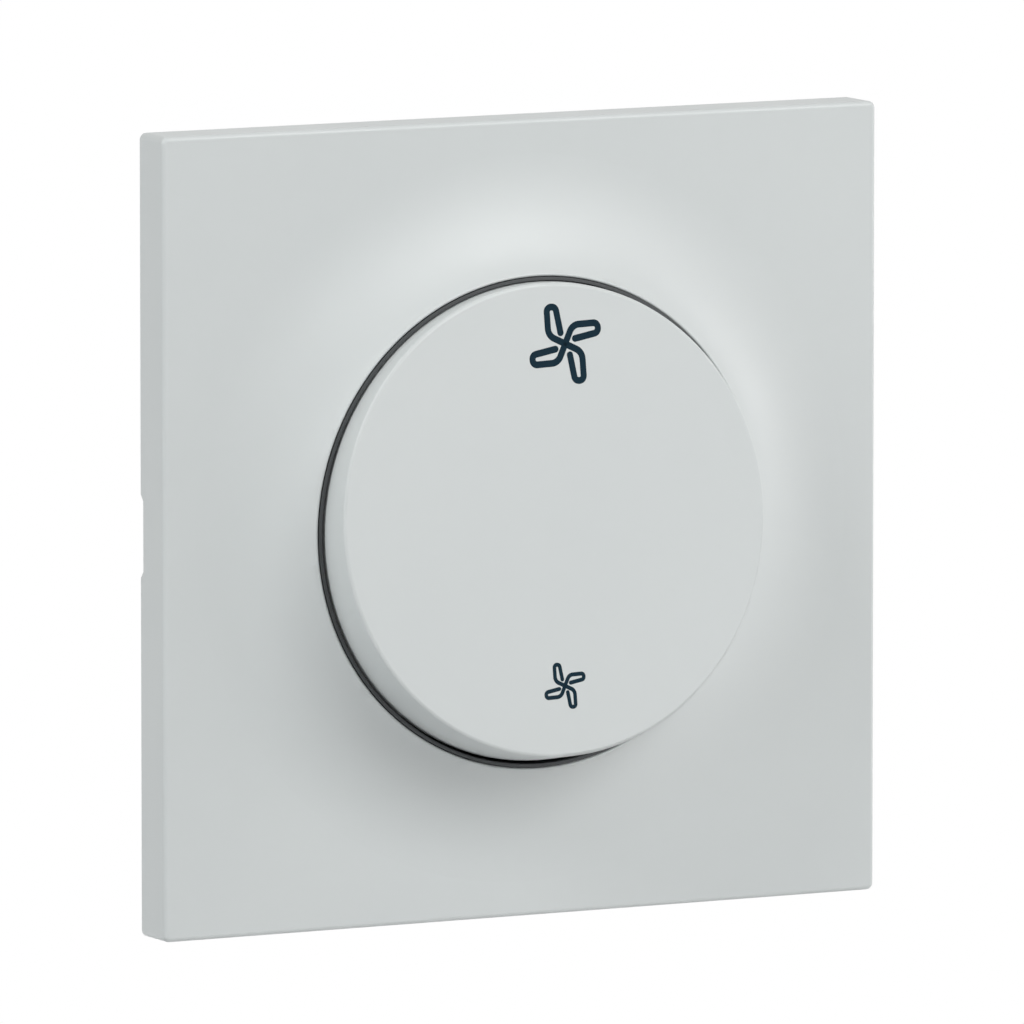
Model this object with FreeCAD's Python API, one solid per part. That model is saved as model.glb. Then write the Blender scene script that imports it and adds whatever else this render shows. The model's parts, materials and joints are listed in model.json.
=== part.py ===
"""Two-speed fan control switch for a flush wall box.

A square cover plate flares up to a round opening, in which a round rocker tilts about a level
axis. Behind it a carrier frame and a steel yoke hold a two-shell housing. In the housing a
spring-loaded plunger, carried by the rocker, throws a seesaw blade from one fixed contact to
the other. Three terminals take two wires each, in leaf clamps that release buttons open.

Millimetres and degrees. X is to the right, Z is up, and Y goes into the wall. The wall's face
is the plane y = 0, and the origin is the centre of the fixing slots. The rocker is modelled
at rest with its top pressed in.
"""

import FreeCAD
import Part

import math
import os

Vector = FreeCAD.Vector
X_AXIS = Vector(1, 0, 0)
Y_AXIS = Vector(0, 1, 0)
Z_AXIS = Vector(0, 0, 1)
ORIGIN = Vector(0, 0, 0)

# Cover plate
PLATE_SIDE = 80.0
PLATE_DEPTH = 5.0
PLATE_SKIN = 1.8
PLATE_WALL = 1.6
PLATE_CORNER = 0.7
PLATE_EDGE = 0.45
RIM_RADIUS = 24.6
RIM_RISE = 3.7
RIM_SKIN = 0.68
RIM_EDGE = 0.2
FLAT_BORDER = 3.5
FLARE_SWEEP = 65.0
NOTCH_LENGTH = 7.0
NOTCH_DEPTH = 0.55
NOTCH_SLOPE = 0.75
SPIGOT_WALL = 1.0

# Plate hooks
HOOK_OFFSET = 18.0
HOOK_INSET = 5.5
HOOK_WIDTH = 5.0
HOOK_THICKNESS = 1.2
HOOK_BARB = 0.6
HOOK_CATCH = 0.8

# Rocker
PIVOT_DEPTH = 4.8
TILT = 5.0
FACE_HEIGHT = 7.25
FACE_RADIUS = 23.55
CREST_EDGE = 0.35
WALL_RADIUS = 24.1
WALL_END = 1.1
CAP_SKIN = 1.8
CAP_WALL = 1.5
WEB_FRONT = 2.9
WEB_THICKNESS = 1.2
SKIRT_WALL = 1.3
SKIRT_END = -0.1
CAP_RIB = 1.2
CAP_RIB_RADIUS = 8.0
CAP_HOOK_X = 11.0
CAP_HOOK_Z = 13.0
CAP_HOOK_WIDTH = 4.0
CAP_HOOK_THICKNESS = 1.3
CAP_HOOK_BARB = 0.5
CAP_HOOK_TIP = 0.8

# Journals, stem and plunger
JOURNAL_RADIUS = 1.8
JOURNAL_INNER = 11.5
JOURNAL_OUTER = 16.0
STEM_RADIUS = 3.0
STEM_END = 8.5
CHEEK_SINK = 1.2
PLUNGER_RADIUS = 1.6
PLUNGER_REACH = 12.8
PLUNGER_LENGTH = 6.9
PLUNGER_GAP = 0.15
SPRING_WIRE = 0.4
SPRING_TURNS = 6.0
SPRING_SEAT = 0.6

# Carrier frame and yoke
YOKE_MARGIN = 1.0
YOKE_THICKNESS = 1.0
YOKE_CORNER = 3.0
YOKE_SEAT = 0.2
SLOT_CENTRES = 60.0
SLOT_LENGTH = 7.4
SLOT_WIDTH = 3.9
TONGUE_WIDTH = 8.0
TONGUE_REACH = 12.0
TONGUE_BEND = 0.6
CARRIER_GAP = 1.9
CARRIER_FRONT = 2.9
CARRIER_FLOOR = 2.2
CARRIER_CORNER = 4.0
COLLAR_RADIUS = 24.75
COLLAR_WALL = 1.0
LIP_RADIUS = 24.2
LIP_SINK = 0.2
LIP_SHELF = 0.8
SCREW_WINDOW_LENGTH = 8.0
SCREW_WINDOW_WIDTH = 7.6
RIVET_INSET = 4.3
RIVET_RADIUS = 1.2
RIVET_HEAD_RADIUS = 2.2
RIVET_HEAD = 0.8

# Housing
HOUSING_WIDTH = 44.0
HOUSING_HEIGHT = 48.0
HOUSING_CHAMFER = 6.0
HOUSING_WALL = 1.5
HOUSING_SPLIT = 5.0
HOUSING_REAR = 27.0
REAR_WALL = 2.0
REAR_CHAMFER = 0.8
BOSS_RADIUS = 20.0
BOSS_GAP = 1.0
DECK_DEPTH = 1.9
DECK_THICKNESS = 1.6
BEARING_WALL = 1.4
BEARING_WIDTH = 2.6
BEARING_MOUTH = 3.0
STOP_PLACE = 17.4
STOP_SIZE = 2.2
STOP_X = 4.5
CHAMBER_WALL = 1.2
CHAMBER_WIDTH = 10.0
CHAMBER_GAP = 1.5
CHAMBER_REACH = 11.6
SPIGOT_LENGTH = 1.5
CLEAT_WIDTH = 5.0
CLEAT_LENGTH = 2.6
CLEAT_HEIGHT = 0.9
RIB_WALL = 1.3
BAR_RIB_LEAD = 3.0
SEAT_RIB_LEAD = 1.0

# Blade and contacts
BLADE_THICKNESS = 0.8
BLADE_WIDTH = 5.0
BLADE_OVERHANG = 1.5
BLADE_CORNER = 1.6
BLADE_SWING = 6.0
EAR_HEIGHT = 1.2
EAR_WIDTH = 4.4
EAR_DROP = 0.5
SADDLE_RADIUS = 0.8
CONTACT_INSET = 4.1
CONTACT_RADIUS = 1.5
CONTACT_THICKNESS = 0.9
CONTACT_SHANK = 0.8
CONTACT_TAIL = 0.3
CONTACT_TAIL_RADIUS = 1.2
CONTACT_EDGE = 0.2
CONTACT_GAP = 0.05

# Terminals, clamps and release buttons
TERMINAL_THICKNESS = 0.8
TERMINAL_WIDTH = 21.0
TERMINAL_NECK = 7.0
TERMINAL_BEND = 0.4
BAR_LEAD = 2.5
CELL_EDGE = 6.9
WIRE_INSET = 3.0
WIRE_RADIUS = 2.0
WIRE_BOSS_WALL = 1.0
WIRE_BOSS_REACH = 1.4
WIRE_TO_BAR = 1.6
CLAMP_THICKNESS = 0.4
CLAMP_WIDTH = 4.4
CLAMP_BEND = 0.7
CLAMP_SEAT = 4.7
CLAMP_START = 17.5
CLAMP_TURN = 22.9
CLAMP_TIP = 16.2
BUTTON_WIDTH = 5.2
BUTTON_OVERHANG = 0.1
BUTTON_LOW = 3.4
BUTTON_HIGH = 0.4
BUTTON_BAR = 1.1
BUTTON_FRONT = 21.9
BUTTON_BAR_DEPTH = 1.4
BUTTON_STAND = 1.6
BUTTON_EDGE = 0.3

# Clearances
FIT = 0.05
RUNNING = 0.1
LOOSE = 0.25
SEAT = 0.05

# Worked out from the sizes above
PLATE_FRONT = -PLATE_DEPTH
RIM_FRONT = PLATE_FRONT - RIM_RISE
FLARE_RADIUS = PLATE_SIDE / 2 - FLAT_BORDER
FLARE_REACH = FLARE_RADIUS - RIM_RADIUS
FLARE_LONG = FLARE_REACH / math.sin(math.radians(FLARE_SWEEP))
FLARE_SHORT = RIM_RISE / (1 - math.cos(math.radians(FLARE_SWEEP)))
FLARE_CENTRE = PLATE_FRONT - FLARE_SHORT
COLLAR_OUTER = COLLAR_RADIUS + COLLAR_WALL
CARRIER_SIDE = PLATE_SIDE - 2 * PLATE_WALL - 2 * CARRIER_GAP
YOKE_SIDE = CARRIER_SIDE - 2 * YOKE_MARGIN
RIVET_PLACE = YOKE_SIDE / 2 - RIVET_INSET
HOOK_PLACE = CARRIER_SIDE / 2 - HOOK_INSET
PIVOT_Y = -PIVOT_DEPTH
WEB_BACK = WEB_FRONT - WEB_THICKNESS
BEARING_RADIUS = JOURNAL_RADIUS + FIT
DECK_Y = -DECK_DEPTH
BLADE_AXIS = PIVOT_Y + PLUNGER_REACH + PLUNGER_GAP + BLADE_THICKNESS + EAR_HEIGHT
BLADE_FRONT = BLADE_AXIS - BLADE_THICKNESS - EAR_HEIGHT
BLADE_BACK = BLADE_FRONT + BLADE_THICKNESS
CELL_PITCH = HOUSING_HEIGHT / 2 - HOUSING_WALL - CELL_EDGE
CONTACT_PLACE = CELL_PITCH - CONTACT_INSET
BLADE_LENGTH = 2 * (CONTACT_PLACE + BLADE_OVERHANG)
CHAMBER_HEIGHT = BLADE_LENGTH + 2 * CHAMBER_GAP
WIRE_PLACE = TERMINAL_WIDTH / 2 - WIRE_INSET
BUTTON_SPAN = 2 * (WIRE_PLACE + BUTTON_OVERHANG) + CLAMP_WIDTH
NECK_HALF = TERMINAL_NECK / 2
CAVITY_WIDTH = HOUSING_WIDTH - 2 * HOUSING_WALL
CAVITY_HEIGHT = HOUSING_HEIGHT - 2 * HOUSING_WALL
CAVITY_CHAMFER = HOUSING_CHAMFER - HOUSING_WALL * (2 - math.sqrt(2))
HOUSING_FLOOR = HOUSING_REAR - REAR_WALL
WIRE_BOSS_END = HOUSING_REAR - REAR_WALL - WIRE_BOSS_REACH
TERMINAL_END = WIRE_BOSS_END - RUNNING


def block(x, y, z):
    """A box between the low and high ends given for each axis."""
    return Part.makeBox(
        x[1] - x[0], y[1] - y[0], z[1] - z[0], Vector(x[0], y[0], z[0])
    )


def centred(width, y, height, x=0.0, z=0.0):
    """A box of this width and height centred on x and z, between two depths."""
    return block(
        (x - width / 2, x + width / 2), y, (z - height / 2, z + height / 2)
    )


def rod_x(radius, x, y, z):
    """A cylinder along X."""
    return Part.makeCylinder(radius, x[1] - x[0], Vector(x[0], y, z), X_AXIS)


def rod_y(radius, y, x=0.0, z=0.0):
    """A cylinder along Y."""
    return Part.makeCylinder(radius, y[1] - y[0], Vector(x, y[0], z), Y_AXIS)


def tube_y(outer, inner, y, x=0.0, z=0.0):
    """A round wall along Y."""
    return rod_y(outer, y, x, z).cut(rod_y(inner, y, x, z))


def cone_y(first, last, y, x=0.0, z=0.0):
    """A cone along Y with its radius at each end."""
    return Part.makeCone(first, last, y[1] - y[0], Vector(x, y[0], z), Y_AXIS)


def fuse(first, *others):
    """One solid from touching shapes."""
    return first.fuse(list(others)).removeSplitter()


def cut(shape, *tools):
    """The shape without the tools."""
    return shape.cut(list(tools))


def line(a, b):
    """A straight edge between two points."""
    return Part.LineSegment(a, b).toShape()


def arc(a, middle, b):
    """A round edge through three points."""
    return Part.Arc(a, middle, b).toShape()


def polygon(points):
    """A flat face with straight sides."""
    return Part.Face(Part.makePolygon(list(points) + [points[0]]))


def turned(points):
    """A ring from straight-sided (radius, y) points, turned about the Y axis."""
    face = polygon([Vector(r, y, 0) for r, y in points])
    return face.revolve(ORIGIN, Y_AXIS, 360)


def side_profile(points, x):
    """A prism along X from (y, z) points."""
    face = polygon([Vector(x[0], y, z) for y, z in points])
    return face.extrude(Vector(x[1] - x[0], 0, 0))


def mirrored(shape, normal):
    """The shape and its mirror image through the origin."""
    return [shape, shape.mirror(ORIGIN, normal)]


def four_corners(shape):
    """The shape mirrored to all four quarters of the XZ plane."""
    return [b for a in mirrored(shape, X_AXIS) for b in mirrored(a, Z_AXIS)]


def quarter_turns(shape):
    """The shape turned about Y by 0, 90, 180 and 270 degrees."""
    return [shape.rotated(ORIGIN, Y_AXIS, angle) for angle in (0, 90, 180, 270)]


def rounded_slab(side, y, corner):
    """A square slab with rounded corners."""
    slab = centred(side, y, side)
    return slab.makeFillet(corner, edges_along_y(slab))


def edges_along_y(shape):
    """The straight edges of a shape that run along Y."""
    found = []
    for edge in shape.Edges:
        if edge.Curve.TypeId == "Part::GeomLine":
            if abs(edge.tangentAt(edge.FirstParameter).y) > 0.999:
                found.append(edge)
    return found


def edges_on_plane(shape, y):
    """The edges of a shape that lie in the plane at this y."""
    return [
        edge
        for edge in shape.Edges
        if abs(edge.BoundBox.YMin - y) < 1e-4 and abs(edge.BoundBox.YMax - y) < 1e-4
    ]


def octagon(width, height, chamfer, y):
    """A slab with four cut corners."""
    half_x = width / 2
    half_z = height / 2
    right_top = [(half_x, half_z - chamfer), (half_x - chamfer, half_z)]
    left_top = [(-x, z) for x, z in reversed(right_top)]
    left_low = [(-x, -z) for x, z in right_top]
    right_low = [(x, -z) for x, z in reversed(right_top)]
    points = right_top + left_top + left_low + right_low
    face = polygon([Vector(x, y[0], z) for x, z in points])
    return face.extrude(Vector(0, y[1] - y[0], 0))


def bent_sheet(points, thickness, bend, x):
    """A bent strip: its middle line through (y, z) points, with round bends of this inner radius."""
    centre = [Vector(0, y, z) for y, z in points]
    radius = bend + thickness / 2
    left = []
    right = []
    start = centre[0]
    for i in range(1, len(centre)):
        along = (centre[i] - centre[i - 1]).normalize()
        side = X_AXIS.cross(along) * (thickness / 2)
        stop = centre[i]
        if i + 1 < len(centre):
            after = (centre[i + 1] - centre[i]).normalize()
            turn = math.atan2(along.cross(after).x, along.dot(after))
            reach = radius * math.tan(abs(turn) / 2)
            stop = centre[i] - along * reach
        left.append(line(start + side, stop + side))
        right.append(line(start - side, stop - side))
        if i + 1 < len(centre):
            inward = X_AXIS.cross(along) * math.copysign(1, turn)
            middle_of_bend = stop + inward * radius
            start = centre[i] + after * reach
            half_way = (stop - middle_of_bend) + (start - middle_of_bend)
            half_way.normalize()
            next_side = X_AXIS.cross(after) * (thickness / 2)
            outer = radius + thickness / 2
            inner = radius - thickness / 2
            left_radius = inner if turn > 0 else outer
            right_radius = outer if turn > 0 else inner
            left.append(
                arc(stop + side, middle_of_bend + half_way * left_radius, start + next_side)
            )
            right.append(
                arc(stop - side, middle_of_bend + half_way * right_radius, start - next_side)
            )
            last_side = next_side
        else:
            last_side = side
            end = stop
    first_side = X_AXIS.cross((centre[1] - centre[0]).normalize()) * (thickness / 2)
    caps = [
        line(end + last_side, end - last_side),
        line(centre[0] - first_side, centre[0] + first_side),
    ]
    edges = Part.__sortEdges__(left + right + caps)
    face = Part.Face(Part.Wire(edges))
    face.translate(Vector(x[0], 0, 0))
    return face.extrude(Vector(x[1] - x[0], 0, 0))


def tilted(shape):
    """A rocker piece, turned about the pivot from upright to its rest with the top pressed."""
    return shape.rotated(Vector(0, PIVOT_Y, 0), X_AXIS, -TILT)


def front_of_pivot(distance):
    """The y of a point of the upright rocker this far in front of the pivot."""
    return PIVOT_Y - distance


def save(name, *solids):
    """Write a node, which may be several separate solids."""
    shape = solids[0] if len(solids) == 1 else Part.makeCompound(list(solids))
    if not shape.isValid():
        print("not valid:", name)
    print(f"{name}: {len(shape.Solids)} solids, {shape.Volume:.1f} mm3")
    shape.exportStep(f"parts/{name}.step")


# Cover plate


def flare_y(radius, behind=0.0):
    """The depth of the flare's surface at a radius, or of the surface this far behind it."""
    across = (FLARE_RADIUS - radius) / (FLARE_LONG + behind)
    return FLARE_CENTRE + (FLARE_SHORT + behind) * math.sqrt(1 - across**2)


def flare_edge(behind):
    """The flare's curve, part of an ellipse, or the one this far behind it."""
    long = FLARE_LONG + behind
    sweep = math.asin(FLARE_REACH / long)
    circle = Part.Circle(ORIGIN, Z_AXIS, 1)
    unit = Part.ArcOfCircle(circle, math.pi / 2, math.pi / 2 + sweep).toShape()
    stretch = FreeCAD.Matrix()
    stretch.scale(long, FLARE_SHORT + behind, 1)
    stretch.move(Vector(FLARE_RADIUS, FLARE_CENTRE, 0))
    return unit.transformGeometry(stretch)


def lip_back():
    """The depth of the back of the rim's lip, a skin behind the flare where the collar ends."""
    return flare_y(COLLAR_OUTER + LOOSE) + RIM_SKIN


def flare_ring():
    """The flaring part of the face, from the flat to the opening, with an even skin."""
    edges = [flare_edge(0.0), flare_edge(PLATE_SKIN)]
    for radius in (FLARE_RADIUS, RIM_RADIUS):
        front = Vector(radius, flare_y(radius), 0)
        edges.append(line(front, Vector(radius, flare_y(radius, PLATE_SKIN), 0)))
    profile = Part.Face(Part.Wire(Part.__sortEdges__(edges)))
    return profile.revolve(ORIGIN, Y_AXIS, 360)


def pry_notch():
    """The sloped cut in the middle of the left rear edge."""
    half = NOTCH_LENGTH / 2
    points = [
        (SEAT, half + NOTCH_SLOPE),
        (-NOTCH_DEPTH, half),
        (-NOTCH_DEPTH, -half),
        (SEAT, -half - NOTCH_SLOPE),
    ]
    edge = -PLATE_SIDE / 2
    return side_profile(points, (edge - SEAT, edge + PLATE_WALL + SEAT))


def plate_hook():
    """One snap hook of the plate, at the top edge and right of the middle."""
    root = PLATE_FRONT + PLATE_SKIN
    end = -YOKE_THICKNESS - LOOSE
    catch = -CARRIER_FRONT + HOOK_CATCH + FIT
    inner = HOOK_PLACE - HOOK_THICKNESS / 2
    outer = HOOK_PLACE + HOOK_THICKNESS / 2
    points = [
        (root - SEAT, inner),
        (end, inner),
        (end, outer),
        (catch + HOOK_BARB / 2, outer + HOOK_BARB),
        (catch, outer + HOOK_BARB),
        (catch, outer),
        (root - SEAT, outer),
    ]
    half = HOOK_WIDTH / 2
    return side_profile(points, (HOOK_OFFSET - half, HOOK_OFFSET + half))


def cover_plate():
    """The hollow square plate with its flare, a spigot round the collar, hooks and notches."""
    slab = rounded_slab(PLATE_SIDE, (PLATE_FRONT, 0), PLATE_CORNER)
    slab = slab.makeFillet(PLATE_EDGE, edges_on_plane(slab, PLATE_FRONT))
    hollow = rounded_slab(
        PLATE_SIDE - 2 * PLATE_WALL, (PLATE_FRONT + PLATE_SKIN, SEAT), PLATE_CORNER
    )
    shell = cut(slab, hollow, rod_y(FLARE_RADIUS, (2 * PLATE_FRONT, SEAT)))
    spigot_inner = COLLAR_OUTER + LOOSE
    counterbore = rod_y(spigot_inner, (lip_back(), 0))
    spigot = tube_y(
        spigot_inner + SPIGOT_WALL,
        spigot_inner,
        (flare_y(spigot_inner + SPIGOT_WALL, PLATE_SKIN / 2), -CARRIER_FRONT - LOOSE),
    )
    ring = flare_ring()
    ring = ring.makeFillet(RIM_EDGE, edges_on_plane(ring, RIM_FRONT))
    plate = fuse(shell, cut(ring, counterbore), spigot)
    hooks = [hook for right in mirrored(plate_hook(), X_AXIS) for hook in quarter_turns(right)]
    return cut(fuse(plate, *hooks), *mirrored(pry_notch(), X_AXIS))


# Rocker


def cap_inner_radius(height):
    """The radius inside the cap's tapered wall, this far in front of the pivot."""
    share = (height - WALL_END) / (FACE_HEIGHT - CAP_SKIN - WALL_END)
    return WALL_RADIUS - CAP_WALL - share * (WALL_RADIUS - FACE_RADIUS)


def rocker_cap():
    """The white cap: a face and a tapered wall, stiffened inside, with four snap hooks."""
    face = front_of_pivot(FACE_HEIGHT)
    inside = face + CAP_SKIN
    end = front_of_pivot(WALL_END)
    web = front_of_pivot(WEB_FRONT)
    body = turned([(0, face), (FACE_RADIUS, face), (WALL_RADIUS, end), (0, end)])
    body = body.makeFillet(CREST_EDGE, edges_on_plane(body, face))
    hollow_front = FACE_RADIUS - CAP_WALL
    hollow_end = WALL_RADIUS - CAP_WALL
    hollow = turned([(0, inside), (hollow_front, inside), (hollow_end, end + SEAT), (0, end + SEAT)])
    ring = tube_y(CAP_RIB_RADIUS + CAP_RIB, CAP_RIB_RADIUS, (inside - SEAT, web))
    spoke = block(
        (CAP_RIB_RADIUS + SEAT, hollow_front + SEAT),
        (inside - SEAT, web),
        (-CAP_RIB / 2, CAP_RIB / 2),
    )
    hooks = four_corners(cap_hook(inside))
    return tilted(fuse(cut(body, hollow), ring, *quarter_turns(spoke), *hooks))


def cap_hook(inside):
    """One hook inside the cap, in the upper right quarter, that snaps behind the web."""
    catch = front_of_pivot(WEB_BACK) + FIT
    end = catch + CAP_HOOK_TIP
    inner = CAP_HOOK_Z - CAP_HOOK_THICKNESS / 2
    outer = CAP_HOOK_Z + CAP_HOOK_THICKNESS / 2
    points = [
        (inside - SEAT, inner),
        (end, inner),
        (end, outer),
        (catch + CAP_HOOK_BARB / 2, outer + CAP_HOOK_BARB),
        (catch, outer + CAP_HOOK_BARB),
        (catch, outer),
        (inside - SEAT, outer),
    ]
    half = CAP_HOOK_WIDTH / 2
    return side_profile(points, (CAP_HOOK_X - half, CAP_HOOK_X + half))


def rocker_carrier():
    """The dark tumbler: a web and a skirt inside the cap's wall, two journals and the stem."""
    front = front_of_pivot(WEB_FRONT)
    back = front_of_pivot(WEB_BACK)
    outer = cap_inner_radius(WEB_FRONT) - RUNNING
    web = rod_y(outer, (front, back))
    skirt = tube_y(outer, outer - SKIRT_WALL, (front, front_of_pivot(SKIRT_END)))
    stem = rod_y(STEM_RADIUS, (back, front_of_pivot(-STEM_END)))
    cheek = side_profile(
        [
            (back, -2 * JOURNAL_RADIUS),
            (back, 2 * JOURNAL_RADIUS),
            (PIVOT_Y + JOURNAL_RADIUS, JOURNAL_RADIUS),
            (PIVOT_Y + JOURNAL_RADIUS, -JOURNAL_RADIUS),
        ],
        (STEM_RADIUS - CHEEK_SINK, JOURNAL_INNER),
    )
    journals = rod_x(JOURNAL_RADIUS, (-JOURNAL_OUTER, JOURNAL_OUTER), PIVOT_Y, 0)
    bore = rod_y(
        PLUNGER_RADIUS + RUNNING,
        (front_of_pivot(SPRING_SEAT), front_of_pivot(-STEM_END) + SEAT),
    )
    window_low = CAP_HOOK_Z - CAP_HOOK_THICKNESS / 2 - RUNNING
    window_high = CAP_HOOK_Z + CAP_HOOK_THICKNESS / 2 + FIT
    window_half = CAP_HOOK_WIDTH / 2 + RUNNING
    window = block(
        (CAP_HOOK_X - window_half, CAP_HOOK_X + window_half),
        (front - SEAT, back + SEAT),
        (window_low, window_high),
    )
    solid = fuse(web, skirt, stem, journals, *mirrored(cheek, X_AXIS))
    return tilted(cut(solid, bore, *four_corners(window)))


def plunger():
    """A round-ended pin in the stem's bore."""
    tip = PIVOT_Y + PLUNGER_REACH
    ball = Part.makeSphere(PLUNGER_RADIUS, Vector(0, tip - PLUNGER_RADIUS, 0))
    shank = rod_y(PLUNGER_RADIUS, (tip - PLUNGER_LENGTH, tip - PLUNGER_RADIUS))
    return tilted(fuse(shank, ball))


def plunger_spring():
    """A coil between the stem's blind end and the plunger, its wire simplified to a square."""
    coil_radius = PLUNGER_RADIUS - SPRING_WIRE / 2 - FIT
    start = front_of_pivot(SPRING_SEAT) + SPRING_WIRE / 2 + SEAT
    stop = PIVOT_Y + PLUNGER_REACH - PLUNGER_LENGTH - SPRING_WIRE / 2 - SEAT
    pitch = (stop - start) / SPRING_TURNS
    helix = Part.makeHelix(pitch, stop - start, coil_radius)
    half = SPRING_WIRE / 2
    corners = [(-half, -half), (half, -half), (half, half), (-half, half)]
    section = [Vector(coil_radius + out, 0, along) for out, along in corners]
    wire = Part.makePolygon(section + [section[0]])
    coil = Part.Wire(helix).makePipeShell([wire], True, True)
    coil.rotate(ORIGIN, X_AXIS, -90)
    coil.translate(Vector(0, start, 0))
    return tilted(coil)


# Carrier frame and yoke


def obround(length, width, y, place):
    """A slot with round ends that runs along X, centred this far along X."""
    half = (length - width) / 2
    return fuse(
        centred(2 * half, y, width, x=place),
        rod_y(width / 2, y, x=place - half),
        rod_y(width / 2, y, x=place + half),
    )


def carrier_frame():
    """The dark frame on the yoke: a collar and a thin lip round the rocker, and hook windows."""
    front = -CARRIER_FRONT
    back = -YOKE_THICKNESS
    slab = rounded_slab(CARRIER_SIDE, (front, -SEAT), CARRIER_CORNER)
    nest = rounded_slab(YOKE_SIDE + 2 * RUNNING, (back, 0), YOKE_CORNER)
    shelf = lip_back() + LOOSE
    collar = tube_y(COLLAR_OUTER, COLLAR_RADIUS, (shelf, back))
    collar = fuse(
        collar,
        tube_y(COLLAR_OUTER, LIP_RADIUS, (shelf, shelf + LIP_SHELF)),
        tube_y(RIM_RADIUS - FIT, LIP_RADIUS, (RIM_FRONT + LIP_SINK, shelf + LIP_SHELF)),
    )
    well = rod_y(COLLAR_RADIUS, (front - SEAT, -CARRIER_FLOOR))
    floor_hole = rod_y(BOSS_RADIUS + BOSS_GAP, (front, 0))
    screw_window = obround(
        SCREW_WINDOW_LENGTH, SCREW_WINDOW_WIDTH, (front - SEAT, back + SEAT), SLOT_CENTRES / 2
    )
    hook_low = HOOK_PLACE - HOOK_THICKNESS / 2 - LOOSE
    hook_high = HOOK_PLACE + HOOK_THICKNESS / 2 + RUNNING
    hook_x = (
        HOOK_OFFSET - HOOK_WIDTH / 2 - LOOSE,
        HOOK_OFFSET + HOOK_WIDTH / 2 + LOOSE,
    )
    window = fuse(
        block(hook_x, (front - SEAT, back + SEAT), (hook_low, hook_high)),
        block(hook_x, (front + HOOK_CATCH, back + SEAT), (hook_low, hook_high + HOOK_BARB + FIT)),
    )
    windows = [w for right in mirrored(window, X_AXIS) for w in quarter_turns(right)]
    rivet_place = (RIVET_PLACE, RIVET_PLACE)
    rivet_seat = fuse(
        rod_y(RIVET_HEAD_RADIUS + RUNNING, (front - SEAT, front + RIVET_HEAD), *rivet_place),
        rod_y(RIVET_RADIUS + FIT, (front, back + SEAT), *rivet_place),
    )
    frame = cut(slab, nest, well, floor_hole, *quarter_turns(screw_window), *windows)
    frame = cut(frame, *four_corners(rivet_seat))
    return fuse(frame, collar)


def tongue(middle):
    """A tongue bent back from the yoke, its sheet this far above the origin, with a window."""
    half = TONGUE_WIDTH / 2
    sheet = bent_sheet(
        [
            (-YOKE_THICKNESS / 2, middle + 2 * YOKE_THICKNESS),
            (-YOKE_THICKNESS / 2, middle),
            (TONGUE_REACH, middle),
        ],
        YOKE_THICKNESS,
        TONGUE_BEND,
        (-half, half),
    )
    window = centred(
        CLEAT_WIDTH + 4 * RUNNING,
        (cleat_front() - RUNNING, cleat_front() + CLEAT_LENGTH + RUNNING),
        2 * YOKE_THICKNESS,
        z=middle,
    )
    return cut(sheet, window)


def cleat_front():
    """The depth at which the housing's cleats begin."""
    return HOUSING_SPLIT + SPIGOT_LENGTH


def yoke_tongues():
    """The four tongues: above, below and on both sides of the housing."""
    upright = tongue(HOUSING_HEIGHT / 2 + RUNNING + YOKE_THICKNESS / 2)
    level = tongue(HOUSING_WIDTH / 2 + RUNNING + YOKE_THICKNESS / 2)
    level = level.rotated(ORIGIN, Y_AXIS, 90)
    return mirrored(upright, Z_AXIS) + mirrored(level, X_AXIS)


def mounting_yoke():
    """The steel sheet with four fixing slots, a seat for the housing and tongues that hold it."""
    y = (-YOKE_THICKNESS, 0)
    sheet = rounded_slab(YOKE_SIDE, y, YOKE_CORNER)
    opening = rod_y(BOSS_RADIUS + LOOSE, (y[0] - SEAT, SEAT))
    notches = [
        centred(HOUSING_WIDTH + 2 * YOKE_THICKNESS, (y[0] - SEAT, SEAT), TONGUE_WIDTH + LOOSE),
        centred(TONGUE_WIDTH + LOOSE, (y[0] - SEAT, SEAT), HOUSING_HEIGHT + 2 * YOKE_THICKNESS),
    ]
    seat = octagon(
        HOUSING_WIDTH + 2 * RUNNING, HOUSING_HEIGHT + 2 * RUNNING, HOUSING_CHAMFER, (-YOKE_SEAT, SEAT)
    )
    slot = obround(SLOT_LENGTH, SLOT_WIDTH, (y[0] - SEAT, SEAT), SLOT_CENTRES / 2)
    hole = RIVET_RADIUS + FIT
    place = (RIVET_PLACE, RIVET_PLACE)
    rivet_hole = fuse(
        rod_y(hole, (y[0] - SEAT, SEAT), *place),
        cone_y(hole, hole + RIVET_HEAD, (-RIVET_HEAD, 0), *place),
    )
    sheet = cut(sheet, opening, seat, *notches, *quarter_turns(slot), *four_corners(rivet_hole))
    return fuse(sheet, *yoke_tongues())


def frame_rivets():
    """Four countersunk rivets that join the frame to the yoke."""
    front = -CARRIER_FRONT
    place = (RIVET_PLACE, RIVET_PLACE)
    rivet = fuse(
        rod_y(RIVET_HEAD_RADIUS, (front, front + RIVET_HEAD), *place),
        rod_y(RIVET_RADIUS, (front, 0), *place),
        cone_y(RIVET_RADIUS, RIVET_RADIUS + RIVET_HEAD, (-RIVET_HEAD, 0), *place),
    )
    return four_corners(rivet)


# Housing


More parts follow.
